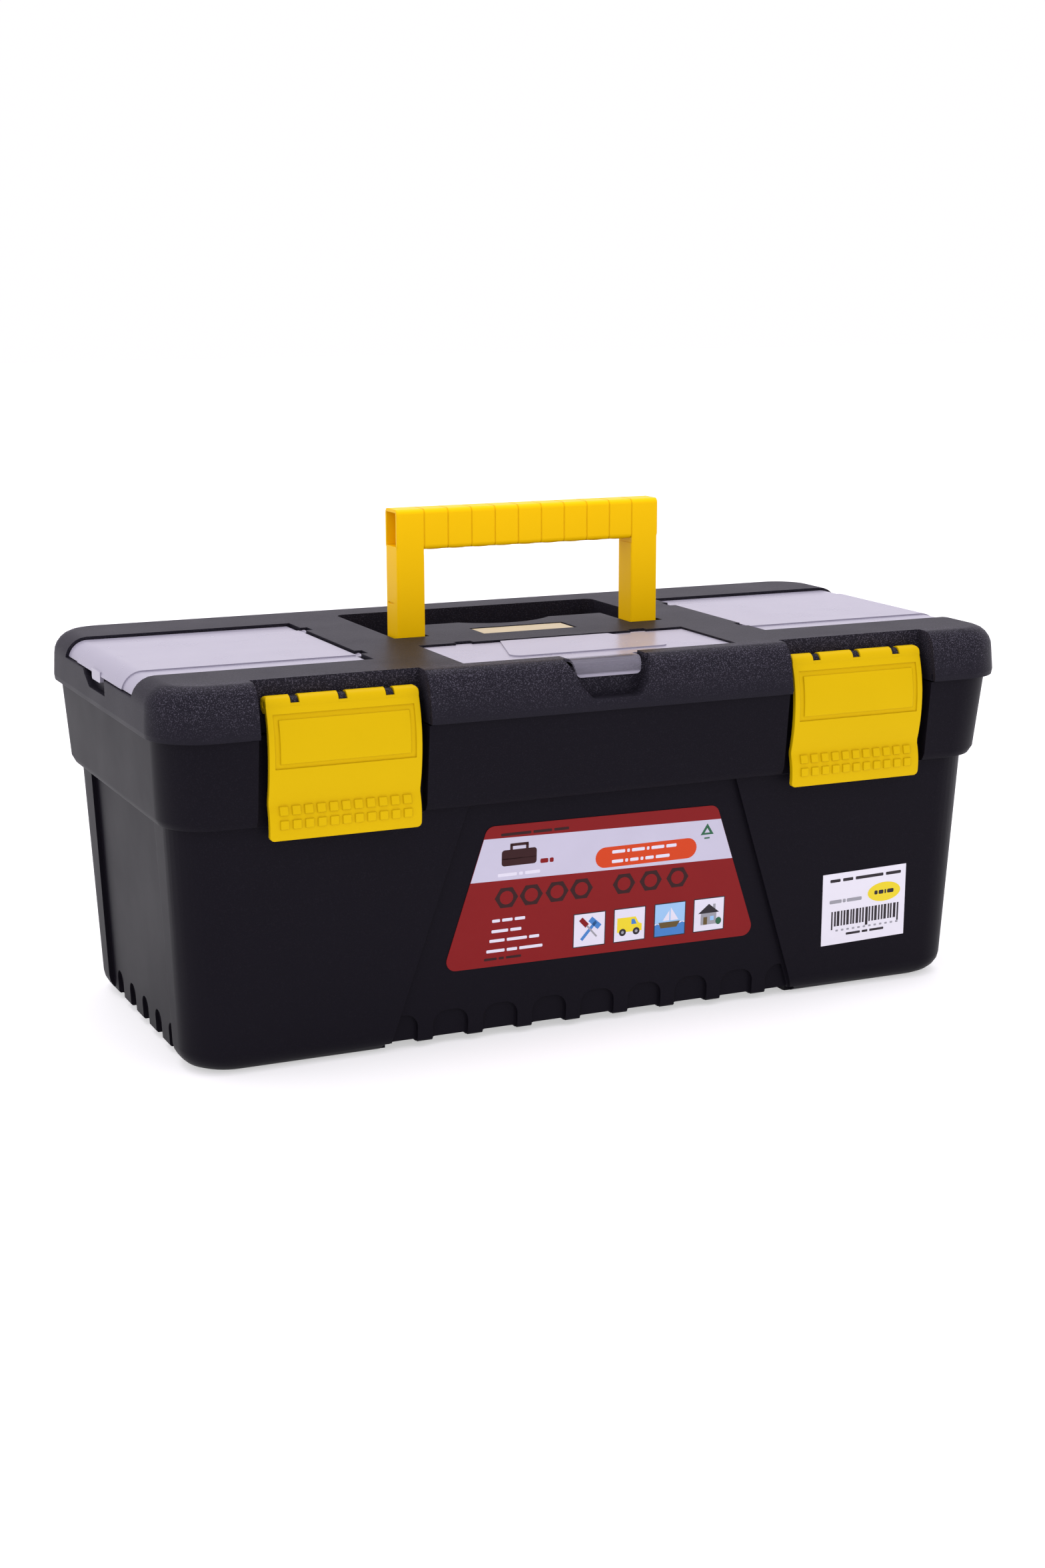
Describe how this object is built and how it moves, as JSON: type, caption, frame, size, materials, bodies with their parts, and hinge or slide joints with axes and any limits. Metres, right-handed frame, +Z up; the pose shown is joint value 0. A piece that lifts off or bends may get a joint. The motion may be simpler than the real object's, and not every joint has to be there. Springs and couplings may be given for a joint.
{
  "type": "toolbox with tray",
  "caption": "Plastic toolbox: tapered tub, hinged lid with clear-covered bins, fold-down handle, swing latches and lift-out tray.",
  "frame": {"origin": "centre of the box's footprint, on the floor it stands on", "axes": "+X to the right along the length, -Y to the front where the latches are, +Z up"},
  "size_m": [0.356, 0.1776, 0.1983],
  "materials": {
    "black_plastic": "moulded, satin below and fine spark texture on the lid",
    "yellow_plastic": "moulded, semi-gloss",
    "clear_plastic": "translucent, milky",
    "tray_plastic": "moulded, satin",
    "steel_pin": "drawn wire",
    "printed_label": "coated paper, red with a white band",
    "sticker": "coated paper, white",
    "plate": "pale yellow, satin"
  },
  "bodies": {
    "base": {"base_tub": "black_plastic", "front_label": "printed_label", "price_sticker": "sticker"},
    "lid": {"lid_shell": "black_plastic", "handle_pin_left": "steel_pin", "handle_pin_right": "steel_pin", "latch_pin_left": "steel_pin", "latch_pin_right": "steel_pin", "hinge_pin_left": "steel_pin", "hinge_pin_right": "steel_pin", "name_plate": "plate"},
    "handle": {"carry_handle": "yellow_plastic"},
    "latch_l": {"latch_left": "yellow_plastic"},
    "latch_r": {"latch_right": "yellow_plastic"},
    "cover_l": {"end_cover_left": "clear_plastic"},
    "cover_r": {"end_cover_right": "clear_plastic"},
    "cover_mid": {"centre_cover": "clear_plastic"},
    "tray": {"tray_body": "tray_plastic", "tray_divider_left": "tray_plastic", "tray_divider_right": "tray_plastic"}
  },
  "joints": [
    {"name": "lid_hinge", "type": "hinge", "parent": "base", "child": "lid", "pos_m": [0, 0.0877, 0.125], "axis": [-1, 0, 0], "range_deg": [0, 105]},
    {"name": "handle_fold", "type": "hinge", "parent": "lid", "child": "handle", "pos_m": [0, 0.0006, 0.138], "axis": [-1, 0, 0], "range_deg": [0, 90]},
    {"name": "latch_left_swing", "type": "hinge", "parent": "lid", "child": "latch_l", "pos_m": [-0.1078, -0.0778, 0.1394], "axis": [-1, 0, 0], "range_deg": [0, 100]},
    {"name": "latch_right_swing", "type": "hinge", "parent": "lid", "child": "latch_r", "pos_m": [0.1078, -0.0778, 0.1394], "axis": [-1, 0, 0], "range_deg": [0, 100]},
    {"name": "end_cover_left_swing", "type": "hinge", "parent": "lid", "child": "cover_l", "pos_m": [-0.0826, 0, 0.146], "axis": [0, 1, 0], "range_deg": [0, 100]},
    {"name": "end_cover_right_swing", "type": "hinge", "parent": "lid", "child": "cover_r", "pos_m": [0.0826, 0, 0.146], "axis": [0, -1, 0], "range_deg": [0, 100]},
    {"name": "centre_cover_swing", "type": "hinge", "parent": "lid", "child": "cover_mid", "pos_m": [0, -0.026, 0.146], "axis": [-1, 0, 0], "range_deg": [0, 95]},
    {"name": "tray_lift", "type": "slide", "parent": "base", "child": "tray", "axis": [0, 0, 1], "range_m": [0, 0.048]}
  ],
  "couplings": [
    {"joint": "tray_lift", "follows": "lid_hinge", "m_per_rad": 0.02619}
  ]
}
